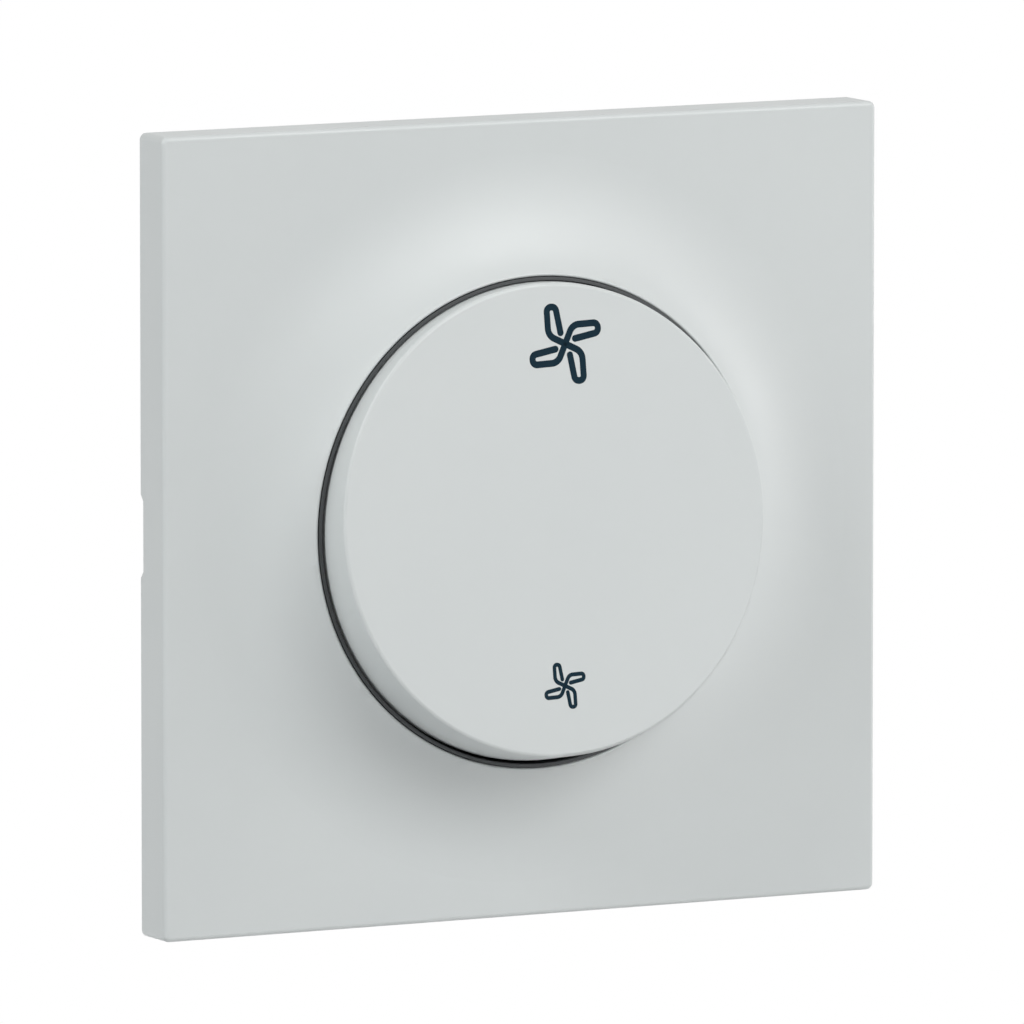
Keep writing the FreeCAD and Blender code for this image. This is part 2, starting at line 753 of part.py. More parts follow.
def bearing():
    """The right-hand bearing: an upright lug whose round seat is open towards the room."""
    middle = (JOURNAL_INNER + JOURNAL_OUTER) / 2 + SEAT
    x = (middle - BEARING_WIDTH / 2, middle + BEARING_WIDTH / 2)
    half = BEARING_RADIUS + BEARING_WALL
    mouth = math.sqrt(BEARING_RADIUS**2 - (BEARING_MOUTH / 2) ** 2)
    lug = block(x, (PIVOT_Y - mouth, DECK_Y), (-half, half))
    seat = rod_x(BEARING_RADIUS, (x[0] - SEAT, x[1] + SEAT), PIVOT_Y, 0)
    opening = block(
        (x[0] - SEAT, x[1] + SEAT),
        (PIVOT_Y - 2 * BEARING_RADIUS, PIVOT_Y),
        (-BEARING_MOUTH / 2, BEARING_MOUTH / 2),
    )
    return cut(lug, seat, opening)


def stop_pad():
    """One stop, in the upper right quarter, that the tilted web comes down on."""
    tilt = math.radians(TILT)
    far = STOP_PLACE + STOP_SIZE / 2
    web_height = WEB_BACK / math.cos(tilt) - far * math.tan(tilt)
    top = front_of_pivot(web_height) + SEAT
    return centred(STOP_SIZE, (top, DECK_Y), STOP_SIZE, x=STOP_X, z=STOP_PLACE)


def stem_slot():
    """The opening in the deck in which the stem swings."""
    swing = (DECK_Y + DECK_THICKNESS - PIVOT_Y) * math.tan(math.radians(TILT))
    half = STEM_RADIUS + swing + 2 * LOOSE
    y = (DECK_Y - SEAT, DECK_Y + DECK_THICKNESS + SEAT)
    return centred(2 * (STEM_RADIUS + 2 * LOOSE), y, 2 * half)


def housing_front():
    """The front shell: a boss in the yoke's opening, a deck, bearings, stops and a chamber."""
    shell = octagon(HOUSING_WIDTH, HOUSING_HEIGHT, HOUSING_CHAMFER, (-YOKE_SEAT, HOUSING_SPLIT))
    spigot = octagon(
        CAVITY_WIDTH - 2 * RUNNING,
        CAVITY_HEIGHT - 2 * RUNNING,
        CAVITY_CHAMFER,
        (HOUSING_WALL, HOUSING_SPLIT + SPIGOT_LENGTH - RUNNING),
    )
    hollow = octagon(
        CAVITY_WIDTH - 2 * SPIGOT_WALL,
        CAVITY_HEIGHT - 2 * SPIGOT_WALL,
        CAVITY_CHAMFER,
        (HOUSING_WALL, HOUSING_SPLIT + SPIGOT_LENGTH),
    )
    boss = rod_y(BOSS_RADIUS, (DECK_Y, HOUSING_WALL))
    boss_hollow = rod_y(BOSS_RADIUS - HOUSING_WALL, (DECK_Y + DECK_THICKNESS, HOUSING_WALL + SEAT))
    under_deck = DECK_Y + DECK_THICKNESS
    chamber_outer = CHAMBER_WIDTH + 2 * CHAMBER_WALL
    chamber = cut(
        centred(chamber_outer, (under_deck, CHAMBER_REACH), CHAMBER_HEIGHT),
        centred(CHAMBER_WIDTH, (DECK_Y, CHAMBER_REACH + SEAT), CHAMBER_HEIGHT + SEAT),
    )
    solid = fuse(cut(fuse(shell, spigot), hollow), boss)
    solid = cut(solid, boss_hollow, stem_slot())
    pads = four_corners(stop_pad())
    return fuse(solid, chamber, *mirrored(bearing(), X_AXIS), *pads)


def cleat(half_width):
    """A ramp above the housing that holds a tongue, at this distance from the origin."""
    front = cleat_front()
    points = [
        (front + CLEAT_LENGTH, half_width - SEAT),
        (front + CLEAT_LENGTH, half_width + SEAT),
        (front + SEAT, half_width + CLEAT_HEIGHT),
        (front, half_width + CLEAT_HEIGHT),
        (front, half_width - SEAT),
    ]
    return side_profile(points, (-CLEAT_WIDTH / 2, CLEAT_WIDTH / 2))


def cell_centres():
    """The height of each terminal's wires, and the side on which its bus bar lies."""
    return {"high_speed": (-CELL_PITCH, 1), "common": (0.0, 1), "low_speed": (CELL_PITCH, -1)}


def bar_far_face(centre, side):
    """The z of a bus bar's face away from its wires."""
    return centre + side * (WIRE_TO_BAR + TERMINAL_THICKNESS)


def across_cavity(z_a, z_b, front):
    """A rib from wall to wall between two heights, from this depth back to the rear wall."""
    return block((-HOUSING_WIDTH / 2, HOUSING_WIDTH / 2), (front, HOUSING_FLOOR), sorted((z_a, z_b)))


def housing_rear():
    """The rear shell: ribs beside each bus bar and clamp, wire entries and button slots."""
    shell = octagon(HOUSING_WIDTH, HOUSING_HEIGHT, HOUSING_CHAMFER, (HOUSING_SPLIT, HOUSING_REAR))
    shell = shell.makeChamfer(REAR_CHAMFER, edges_on_plane(shell, HOUSING_REAR))
    hollow = octagon(
        CAVITY_WIDTH, CAVITY_HEIGHT, CAVITY_CHAMFER, (HOUSING_SPLIT - SEAT, HOUSING_FLOOR)
    )
    added = []
    removed = []
    slot_half = BUTTON_WIDTH / 2 + RUNNING
    for centre, side in cell_centres().values():
        bar = bar_far_face(centre, side)
        added.append(
            across_cavity(bar + side * SEAT, bar + side * RIB_WALL, CLAMP_START - BAR_RIB_LEAD)
        )
        seat = centre - side * (CLAMP_SEAT + CLAMP_THICKNESS / 2 + SEAT)
        added.append(across_cavity(seat, seat - side * RIB_WALL, CLAMP_START - SEAT_RIB_LEAD))
        slot = sorted((centre - side * (BUTTON_LOW + RUNNING), centre + side * (BUTTON_HIGH + RUNNING)))
        removed.append(
            block((-slot_half, slot_half), (HOUSING_FLOOR - SEAT, HOUSING_REAR + SEAT), slot)
        )
        for x in (-WIRE_PLACE, WIRE_PLACE):
            boss = (WIRE_BOSS_END, HOUSING_FLOOR)
            bore = (WIRE_BOSS_END - SEAT, HOUSING_REAR + SEAT)
            added.append(rod_y(WIRE_RADIUS + WIRE_BOSS_WALL, boss, x, centre))
            removed.append(rod_y(WIRE_RADIUS, bore, x, centre))
    inside = [solid for shape in added for solid in hollow.common(shape).Solids]
    cleats = mirrored(cleat(HOUSING_HEIGHT / 2), Z_AXIS)
    level = cleat(HOUSING_WIDTH / 2).rotated(ORIGIN, Y_AXIS, 90)
    cleats += mirrored(level, X_AXIS)
    return cut(fuse(cut(shell, hollow), *inside, *cleats), *removed)


# Blade and contacts


def rocked(shape):
    """A blade piece, turned about the saddle to its rest with the lower contact closed."""
    return shape.rotated(Vector(0, BLADE_AXIS, 0), X_AXIS, BLADE_SWING)


def contact_blade():
    """The seesaw blade, with two ears notched for the saddle and a hole for each contact."""
    strip = centred(BLADE_WIDTH, (BLADE_FRONT, BLADE_BACK), BLADE_LENGTH)
    strip = strip.makeFillet(BLADE_CORNER, edges_along_y(strip))
    ear_x = (BLADE_WIDTH / 2 + RUNNING, BLADE_WIDTH / 2 + RUNNING + BLADE_THICKNESS)
    shoulders = centred(2 * ear_x[1], (BLADE_FRONT, BLADE_BACK), EAR_WIDTH)
    ear = block(ear_x, (BLADE_FRONT, BLADE_AXIS + EAR_DROP), (-EAR_WIDTH / 2, EAR_WIDTH / 2))
    notch_radius = SADDLE_RADIUS + RUNNING
    across = (ear_x[0] - 2 * BLADE_WIDTH, ear_x[1] + SEAT)
    notch = fuse(
        rod_x(notch_radius, across, BLADE_AXIS, 0),
        block(across, (BLADE_AXIS, BLADE_AXIS + EAR_DROP + SEAT), (-notch_radius, notch_radius)),
    )
    holes = [
        rod_y(CONTACT_SHANK, (BLADE_FRONT - SEAT, BLADE_BACK + SEAT), 0, z)
        for z in (-CONTACT_PLACE, CONTACT_PLACE)
    ]
    blade = cut(fuse(strip, shoulders, *mirrored(ear, X_AXIS)), notch, *holes)
    return rocked(blade)


def blade_contact(z):
    """A moving contact riveted through the blade at this height."""
    head = rod_y(CONTACT_RADIUS, (BLADE_BACK, BLADE_BACK + CONTACT_THICKNESS), 0, z)
    shank = rod_y(CONTACT_SHANK, (BLADE_FRONT, BLADE_BACK), 0, z)
    tail = rod_y(CONTACT_TAIL_RADIUS, (BLADE_FRONT - CONTACT_TAIL, BLADE_FRONT), 0, z)
    return rocked(fuse(head, shank, tail))


def fixed_face():
    """The depth of the fixed contacts' faces, just clear of the moving contact's far edge."""
    swing = math.radians(BLADE_SWING)
    face = BLADE_BACK + CONTACT_THICKNESS - BLADE_AXIS
    far = CONTACT_PLACE + CONTACT_RADIUS
    return BLADE_AXIS + face * math.cos(swing) + far * math.sin(swing) + CONTACT_GAP


def fixed_height():
    """The height at which the moving contact lands."""
    swing = math.radians(BLADE_SWING)
    face = BLADE_BACK + CONTACT_THICKNESS - BLADE_AXIS
    return CONTACT_PLACE * math.cos(swing) - face * math.sin(swing)


def fixed_contact(side):
    """A fixed contact riveted through its terminal, above or below the middle."""
    z = side * fixed_height()
    face = fixed_face()
    back = face + CONTACT_THICKNESS
    plate_back = back + TERMINAL_THICKNESS
    head = rod_y(CONTACT_RADIUS, (face, back), 0, z)
    head = head.makeChamfer(CONTACT_EDGE, edges_on_plane(head, face))
    shank = rod_y(CONTACT_SHANK, (back, plate_back), 0, z)
    tail = rod_y(CONTACT_TAIL_RADIUS, (plate_back, plate_back + CONTACT_TAIL), 0, z)
    return fuse(head, shank, tail)


# Terminals


def strip_depth():
    """The depth of the middle of the terminal strips behind the fixed contacts."""
    return fixed_face() + CONTACT_THICKNESS + TERMINAL_THICKNESS / 2


def bus_bar(centre, side):
    """A terminal's wide bar beside its wires."""
    near = centre + side * WIRE_TO_BAR
    low, high = sorted((near, near + side * TERMINAL_THICKNESS))
    half = TERMINAL_WIDTH / 2
    return block((-half, half), (CLAMP_START - BAR_LEAD, TERMINAL_END), (low, high))


def speed_terminal(name):
    """A terminal whose neck carries a fixed contact: a strip bent once, with a wide bus bar."""
    centre, side = cell_centres()[name]
    place = -side * fixed_height()
    plate = strip_depth()
    bar = centre + side * (WIRE_TO_BAR + TERMINAL_THICKNESS / 2)
    reach = place + side * (CONTACT_RADIUS + SEAT)
    strip = bent_sheet(
        [(plate, reach), (plate, bar), (TERMINAL_END, bar)],
        TERMINAL_THICKNESS,
        TERMINAL_BEND,
        (-NECK_HALF, NECK_HALF),
    )
    hole = rod_y(CONTACT_SHANK, (plate - TERMINAL_THICKNESS, plate + TERMINAL_THICKNESS), 0, place)
    return cut(fuse(strip, bus_bar(centre, side)), hole)


def common_terminal():
    """The saddle's two arms on a bent strip, with a wide bus bar."""
    centre, side = cell_centres()["common"]
    base = strip_depth()
    bar = centre + side * (WIRE_TO_BAR + TERMINAL_THICKNESS / 2)
    arm_x = (BLADE_WIDTH / 2 + RUNNING, BLADE_WIDTH / 2 + RUNNING + BLADE_THICKNESS)
    half = arm_x[1]
    strip = bent_sheet(
        [(base, -2 * SADDLE_RADIUS), (base, bar), (TERMINAL_END, bar)],
        TERMINAL_THICKNESS,
        TERMINAL_BEND,
        (-half, half),
    )
    arm = fuse(
        block(arm_x, (BLADE_AXIS, base), (-SADDLE_RADIUS, SADDLE_RADIUS)),
        rod_x(SADDLE_RADIUS, arm_x, BLADE_AXIS, 0),
    )
    return fuse(strip, bus_bar(centre, side), *mirrored(arm, X_AXIS))


def clamp_spring(name, x):
    """A leaf bent back on itself: one leg on its seat, the other rising to the bus bar."""
    centre, side = cell_centres()[name]
    seat = centre - side * CLAMP_SEAT
    tip = centre + side * (WIRE_TO_BAR - CLAMP_THICKNESS)
    return bent_sheet(
        [(CLAMP_START, seat), (CLAMP_TURN, seat), (CLAMP_TIP, tip)],
        CLAMP_THICKNESS,
        CLAMP_BEND,
        (x - CLAMP_WIDTH / 2, x + CLAMP_WIDTH / 2),
    )


def release_button(name):
    """A sliding T: its stem stands out of the rear wall, and its bar presses both leaves."""
    centre, side = cell_centres()[name]
    low, high = sorted((centre - side * BUTTON_LOW, centre + side * BUTTON_HIGH))
    half = BUTTON_WIDTH / 2
    end = HOUSING_REAR + BUTTON_STAND
    stem = block((-half, half), (BUTTON_FRONT, end), (low, high))
    stem = stem.makeFillet(BUTTON_EDGE, edges_on_plane(stem, end))
    bar_low, bar_high = sorted(
        (centre - side * BUTTON_LOW, centre - side * (BUTTON_LOW - BUTTON_BAR))
    )
    bar = block(
        (-BUTTON_SPAN / 2, BUTTON_SPAN / 2),
        (BUTTON_FRONT, BUTTON_FRONT + BUTTON_BAR_DEPTH),
        (bar_low, bar_high),
    )
    return fuse(stem, bar)


def build():
    """Write every node."""
    os.makedirs("parts", exist_ok=True)
    save("cover_plate", cover_plate())
    save("rocker_cap", rocker_cap())
    save("rocker_carrier", rocker_carrier())
    save("plunger", plunger())
    save("plunger_spring", plunger_spring())
    save("carrier_frame", carrier_frame())
    save("mounting_yoke", mounting_yoke())
    save("frame_rivets", *frame_rivets())
    save("housing_front", housing_front())
    save("housing_rear", housing_rear())
    save("contact_blade", contact_blade())
    save("blade_contact_upper", blade_contact(CONTACT_PLACE))
    save("blade_contact_lower", blade_contact(-CONTACT_PLACE))
    save("fixed_contact_high", fixed_contact(-1))
    save("fixed_contact_low", fixed_contact(1))
    save("common_terminal", common_terminal())
    save("high_speed_terminal", speed_terminal("high_speed"))
    save("low_speed_terminal", speed_terminal("low_speed"))
    for name in cell_centres():
        save(f"{name}_clamp_left", clamp_spring(name, -WIRE_PLACE))
        save(f"{name}_clamp_right", clamp_spring(name, WIRE_PLACE))
        save(f"{name}_release", release_button(name))


build()
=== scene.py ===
"""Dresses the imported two-speed fan control switch: its finishes, printed signs, light and camera."""

import json
import math

import bmesh
import bpy
import numpy as np
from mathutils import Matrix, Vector


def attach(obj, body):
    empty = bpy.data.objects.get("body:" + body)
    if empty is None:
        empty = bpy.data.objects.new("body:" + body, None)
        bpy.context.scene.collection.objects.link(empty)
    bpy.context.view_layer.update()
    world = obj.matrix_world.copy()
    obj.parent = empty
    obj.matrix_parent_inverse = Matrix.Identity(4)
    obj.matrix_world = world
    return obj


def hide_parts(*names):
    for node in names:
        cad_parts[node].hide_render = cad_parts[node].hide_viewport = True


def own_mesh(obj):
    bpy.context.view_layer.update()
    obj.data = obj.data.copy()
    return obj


MM = 0.001

# The rocker at rest: its pivot, its tilt and the height of its face in front of the pivot
PIVOT_Y = -4.8
REST_TILT = math.radians(-5.0)
FACE_HEIGHT = 7.25

# The printed signs: width of their strokes, height above and depth under the face, and places
LARGE_SIGN_STROKE = 0.69
SMALL_SIGN_STROKE = 0.41
SIGN_PROUD = 0.02
SIGN_SUNK = 0.01
LARGE_SIGN_PLACE = (1.84, 17.42)
SMALL_SIGN_PLACE = (0.28, -16.51)
SMALL_SIGN_SCALE = 0.575

# A blade of the large sign from its free end to the middle: corners as x, z and radius
BLADE_CORNERS = (
    (-0.415, 0.780, 0),
    (-0.950, 3.720, 0.48),
    (-1.940, 3.720, 0.48),
    (-1.850, 0.890, 1.15),
)
ARC_POINTS = 25
STROKE_SPACING = 0.05

# The section of a stroke, in half widths across and in heights (above 0) or depths (below 0)
SECTION_ACROSS = (-1, -0.97, -0.88, -0.6, 0, 0.6, 0.88, 0.97, 1, 0.6, 0, -0.6)
SECTION_RISE = (0, 0.5, 0.86, 1, 1, 1, 0.86, 0.5, 0, -1, -1, -1)
MOST_NARROWING = 0.999

# The plunger's spring, in the stem's bore of the upright rocker
COIL_RADIUS = 1.35
COIL_WIRE = 0.2
COIL_FRONT = -5.15
COIL_BACK = 0.85
COIL_TURNS = 6.0
COIL_POINTS = 241
WIRE_POINTS = 12
END_CLOSING = 0.8

# The clamp leaves: how close points merge in millimetres, which edges stay sharp in degrees, and
# the cells that hold them
MERGE = 0.001
SHARP_ANGLE = 35.0
CELLS = ("high_speed", "common", "low_speed")

# Finishes: the usual span of a noise's values, its detail in drifts and in grain, and the bevel
NOISE_LOW = 0.3
NOISE_HIGH = 0.7
DRIFT_DETAIL = 3.0
GRAIN_DETAIL = 2.0
BEVEL_SAMPLES = 6

# The camera, in millimetres and degrees: its aim point and where it stands from there
AIM = (-1.2443, -5.0, 0.7415)
CAMERA_TURN = -27.5668
CAMERA_RISE = 6.9648
CAMERA_DISTANCE = 1666.47
CAMERA_LENS = 588.3
SENSOR_WIDTH = 36.0

# The studio, in metres and strengths
FLOOR_DROP = 0.35
FLOOR_HALF = 0.8
FLOOR_GREY = 0.8
FLOOR_ROUGHNESS = 0.9
FLOOR_GLOW = 0.5
AMBIENT = 0.18


# Mesh helpers


def tilted(points):
    """Points of the upright rocker, turned about the pivot line to its rest.

    y' = pivot + (y - pivot) cos t - z sin t, z' = (y - pivot) sin t + z cos t, for the rest tilt t.
    """
    x, y, z = np.moveaxis(np.asarray(points, float), -1, 0)
    c, s = math.cos(REST_TILT), math.sin(REST_TILT)
    return np.stack([x, PIVOT_Y + (y - PIVOT_Y) * c - z * s, (y - PIVOT_Y) * s + z * c], -1)


def directions(points):
    """Unit vectors along a line of points, from the differences of its neighbours."""
    step = np.gradient(points, axis=0)
    return step / np.linalg.norm(step, axis=1)[:, None]


def distances(points):
    """The length along a line of points, from its start to each point."""
    return np.concatenate([[0], np.cumsum(np.linalg.norm(np.diff(points, axis=0), axis=1))])


def add_object(name, data):
    """A new object at the origin, linked into the scene."""
    added = bpy.data.objects.new(name, data)
    bpy.context.scene.collection.objects.link(added)
    return added


def skin(name, rows, material):
    """A closed surface over a grid of points in millimetres.

    The grid is rows along the path by columns round the section. Columns close on themselves,
    and the first and last rows shrink to their middle points, which close the ends.
    """
    count, around = rows.shape[:2]
    ends = np.stack([rows[0].mean(0), rows[-1].mean(0)])
    points = np.concatenate([rows.reshape(-1, 3), ends]) * MM
    i, j = np.meshgrid(np.arange(count - 1), np.arange(around), indexing="ij")
    k = (j + 1) % around
    quads = np.stack([i * around + j, i * around + k, (i + 1) * around + k, (i + 1) * around + j], -1)
    j = np.arange(around)
    k = (j + 1) % around
    start, end = count * around, count * around + 1
    first = np.stack([np.full(around, start), k, j], -1)
    last = np.stack([np.full(around, end), (count - 1) * around + j, (count - 1) * around + k], -1)
    faces = quads.reshape(-1, 4).tolist() + first.tolist() + last.tolist()
    mesh = bpy.data.meshes.new(name)
    mesh.from_pydata(points.tolist(), [], faces)
    mesh.validate()
    mesh.materials.append(material)
    return add_object(name, mesh)


# The printed fan signs


def rounded_path(corners):
    """A flat line through (x, z, radius) corners, each rounded by an arc of its radius.

    At a corner with directions a in and b out, the arc starts r tan(turn / 2) before it. The
    points are spaced evenly along the length.
    """
    xz = np.array([c[:2] for c in corners], float)
    pieces = [xz[:1]]
    for p, q, s, r in zip(xz[:-2], xz[1:-1], xz[2:], [c[2] for c in corners[1:-1]]):
        a = (q - p) / np.linalg.norm(q - p)
        b = (s - q) / np.linalg.norm(s - q)
        turn = math.atan2(a[0] * b[1] - a[1] * b[0], a @ b)
        reach = r * math.tan(abs(turn) / 2)
        angle = np.linspace(0, 1, ARC_POINTS)[:, None] * turn
        normal = math.copysign(1, turn) * np.array([-a[1], a[0]])
        arc = q - a * reach + r * (np.sin(abs(angle)) * a + (1 - np.cos(angle)) * normal)
        pieces.append(arc)
    line = np.concatenate(pieces + [xz[-1:]])
    along = distances(line)
    even = np.linspace(0, along[-1], int(along[-1] / STROKE_SPACING) + 1)
    return np.stack([np.interp(even, along, line[:, k]) for k in (0, 1)], -1)


def blade_pair():
    """One stroke of the fan sign: a blade's loop, in to the middle, and out as the opposite one."""
    opposite = [(-x, -z, r) for x, z, r in reversed(BLADE_CORNERS)]
    return rounded_path([*BLADE_CORNERS, *opposite])


def ink_stroke(name, line, place, scale, width, material):
    """A thin raised band of ink along a flat line on the rocker's face.

    Across the band, the section is a low ridge with rounded shoulders over a flat underside. Near
    both ends the half width w becomes sqrt(w^2 - (w - s)^2) at distance s from the end, so that
    they are round.
    """
    step = directions(line)
    along = distances(line) * scale
    half = width / 2
    line = line * scale
    from_end = np.minimum(along, along[-1] - along)
    short = np.clip(half - from_end, 0, half * MOST_NARROWING)
    wide = np.sqrt(half**2 - short**2)
    across = np.array(SECTION_ACROSS)
    rise = np.array(SECTION_RISE)
    rise = np.where(rise < 0, -SIGN_SUNK, rise * SIGN_PROUD)
    normal = np.stack([-step[:, 1], step[:, 0]], -1)
    flat = line[:, None, :] + normal[:, None, :] * (wide[:, None] * across[None, :])[..., None]
    x = flat[..., 0] + place[0]
    z = flat[..., 1] + place[1]
    y = np.broadcast_to(PIVOT_Y - FACE_HEIGHT - rise, x.shape)
    piece = skin(name, tilted(np.stack([x, y, z], -1)), material)
    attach(piece, "rocker")


def fan_sign(name, place, scale, width, material):
    """Two strokes at right angles to each other, which make the four blades."""
    line = blade_pair()
    turned = np.stack([line[:, 1], -line[:, 0]], -1)
    ink_stroke(f"{name}_upright_blades", line, place, scale, width, material)
    ink_stroke(f"{name}_level_blades", turned, place, scale, width, material)


# The plunger's spring


def plunger_coil(material):
    """A helical spring of round wire whose end turns lie close, in the stem's bore.

    Round the bore the angle is 2 pi n u for n turns and u from 0 to 1. Along it, the advance is
    u - c sin(2 pi u) / (2 pi) of the length, so that for c near 1 the pitch fades at both ends.
    """
    u = np.linspace(0, 1, COIL_POINTS)
    angle = 2 * math.pi * COIL_TURNS * u
    length = COIL_BACK - COIL_FRONT
    advance = COIL_FRONT + length * (u - END_CLOSING * np.sin(2 * math.pi * u) / (2 * math.pi))
    middle = np.stack([COIL_RADIUS * np.cos(angle), advance, COIL_RADIUS * np.sin(angle)], -1)
    outward = np.stack([np.cos(angle), np.zeros_like(angle), np.sin(angle)], -1)
    across = np.cross(directions(middle), outward)
    v = np.linspace(0, 2 * math.pi, WIRE_POINTS, endpoint=False)[None, :, None]
    rows = middle[:, None] + COIL_WIRE * (np.cos(v) * outward[:, None] + np.sin(v) * across[:, None])
    coil = skin("plunger_coil", tilted(rows), material)
    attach(coil, "rocker")
    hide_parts("plunger_spring")
    length = COIL_BACK - COIL_FRONT + 2 * COIL_WIRE
    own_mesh(coil)


# The clamp leaves behind the release buttons


def yielding_leaf(frame, node, material):
    """A copy of a clamp's leaf, its close points merged and its shading smooth but for its sharp
    edges.

    The leaf's tip is its foremost point, so its seat is at the other end of its extent in z.
    """
    model = frame["nodes"][node]
    mesh = model.data.copy()
    mesh.transform(model.matrix_world)
    built = bmesh.new()
    built.from_mesh(mesh)
    bmesh.ops.remove_doubles(built, verts=built.verts, dist=MERGE * MM)
    built.to_mesh(mesh)
    built.free()
    if "custom_normal" in mesh.attributes:
        mesh.attributes.remove(mesh.attributes["custom_normal"])
    mesh.shade_smooth()
    mesh.set_sharp_from_angle(angle=math.radians(SHARP_ANGLE))
    mesh.materials.clear()
    mesh.materials.append(material)
    points = np.empty(3 * len(mesh.vertices))
    mesh.vertices.foreach_get("co", points)
    x, y, z = points.reshape(-1, 3).T
    seat = z.min() if z[y.argmin()] > (z.min() + z.max()) / 2 else z.max()
    leaf = add_object(f"{node}_leaf", mesh)
    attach(leaf, "switch_frame")
    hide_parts(node)
    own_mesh(leaf)


# Finishes


class Finish:
    """A material under construction: its shader and a few ways to vary it over the surface."""

    def __init__(self, name, colour, roughness, metallic=0.0, specular=0.5):
        self.name = name
        self.material = bpy.data.materials.new(name)
        self.material.use_nodes = True
        self.nodes = self.material.node_tree.nodes
        self.links = self.material.node_tree.links
        self.shader = self.nodes["Principled BSDF"]
        self.colour = colour
        self.shader.inputs["Base Color"].default_value = (*colour, 1)
        self.shader.inputs["Roughness"].default_value = roughness
        self.shader.inputs["Metallic"].default_value = metallic
        self.shader.inputs["Specular IOR Level"].default_value = specular
        self.normal = None

    def noise(self, size, detail, closer):
        """A noise whose features are this many millimetres across, and closer along some axes."""
        coordinates = self.nodes.new("ShaderNodeTexCoord")
        mapping = self.nodes.new("ShaderNodeMapping")
        mapping.inputs["Scale"].default_value = closer
        self.links.new(coordinates.outputs["Object"], mapping.inputs["Vector"])
        node = self.nodes.new("ShaderNodeTexNoise")
        node.inputs["Scale"].default_value = 1 / (size * MM)
        node.inputs["Detail"].default_value = detail
        self.links.new(mapping.outputs["Vector"], node.inputs["Vector"])
        return node.outputs["Fac"]

    def drift(self, size, low, high, closer=(1, 1, 1)):
        """A value that drifts over the surface, for the noise's usual span from low to high."""
        node = self.nodes.new("ShaderNodeMapRange")
        node.inputs["From Min"].default_value = NOISE_LOW
        node.inputs["From Max"].default_value = NOISE_HIGH
        node.inputs["To Min"].default_value = low
        node.inputs["To Max"].default_value = high
        self.links.new(self.noise(size, DRIFT_DETAIL, closer), node.inputs["Value"])
        return node.outputs["Result"]

    def vary_roughness(self, size, low, high, closer=(1, 1, 1)):
        """Roughness that drifts between two values."""
        self.links.new(self.drift(size, low, high, closer), self.shader.inputs["Roughness"])
        return self

    def vary_colour(self, size, other):
        """A colour that drifts towards another one."""
        mix = self.nodes.new("ShaderNodeMix")
        mix.data_type = "RGBA"
        mix.inputs["A"].default_value = (*self.colour, 1)
        mix.inputs["B"].default_value = (*other, 1)
        self.links.new(self.drift(size, 0, 1), mix.inputs["Factor"])
        self.links.new(mix.outputs["Result"], self.shader.inputs["Base Color"])
        return self

    def soft_edges(self, radius):
        """Edges rounded for the light by this many millimetres."""
        bevel = self.nodes.new("ShaderNodeBevel")
        bevel.samples = BEVEL_SAMPLES
        bevel.inputs["Radius"].default_value = radius * MM
        self.normal = bevel.outputs["Normal"]
        return self

    def grain(self, size, height, closer=(1, 1, 1)):
        """A fine relief with this feature size and height in millimetres."""
        bump = self.nodes.new("ShaderNodeBump")
        bump.inputs["Strength"].default_value = 1.0
        bump.inputs["Distance"].default_value = height * MM
        self.links.new(self.noise(size, GRAIN_DETAIL, closer), bump.inputs["Height"])
        if self.normal is not None:
            self.links.new(self.normal, bump.inputs["Normal"])
        self.normal = bump.outputs["Normal"]
        return self

    def done(self):
        """The finished material."""
        if self.normal is not None:
            self.links.new(self.normal, self.shader.inputs["Normal"])
        return self.material


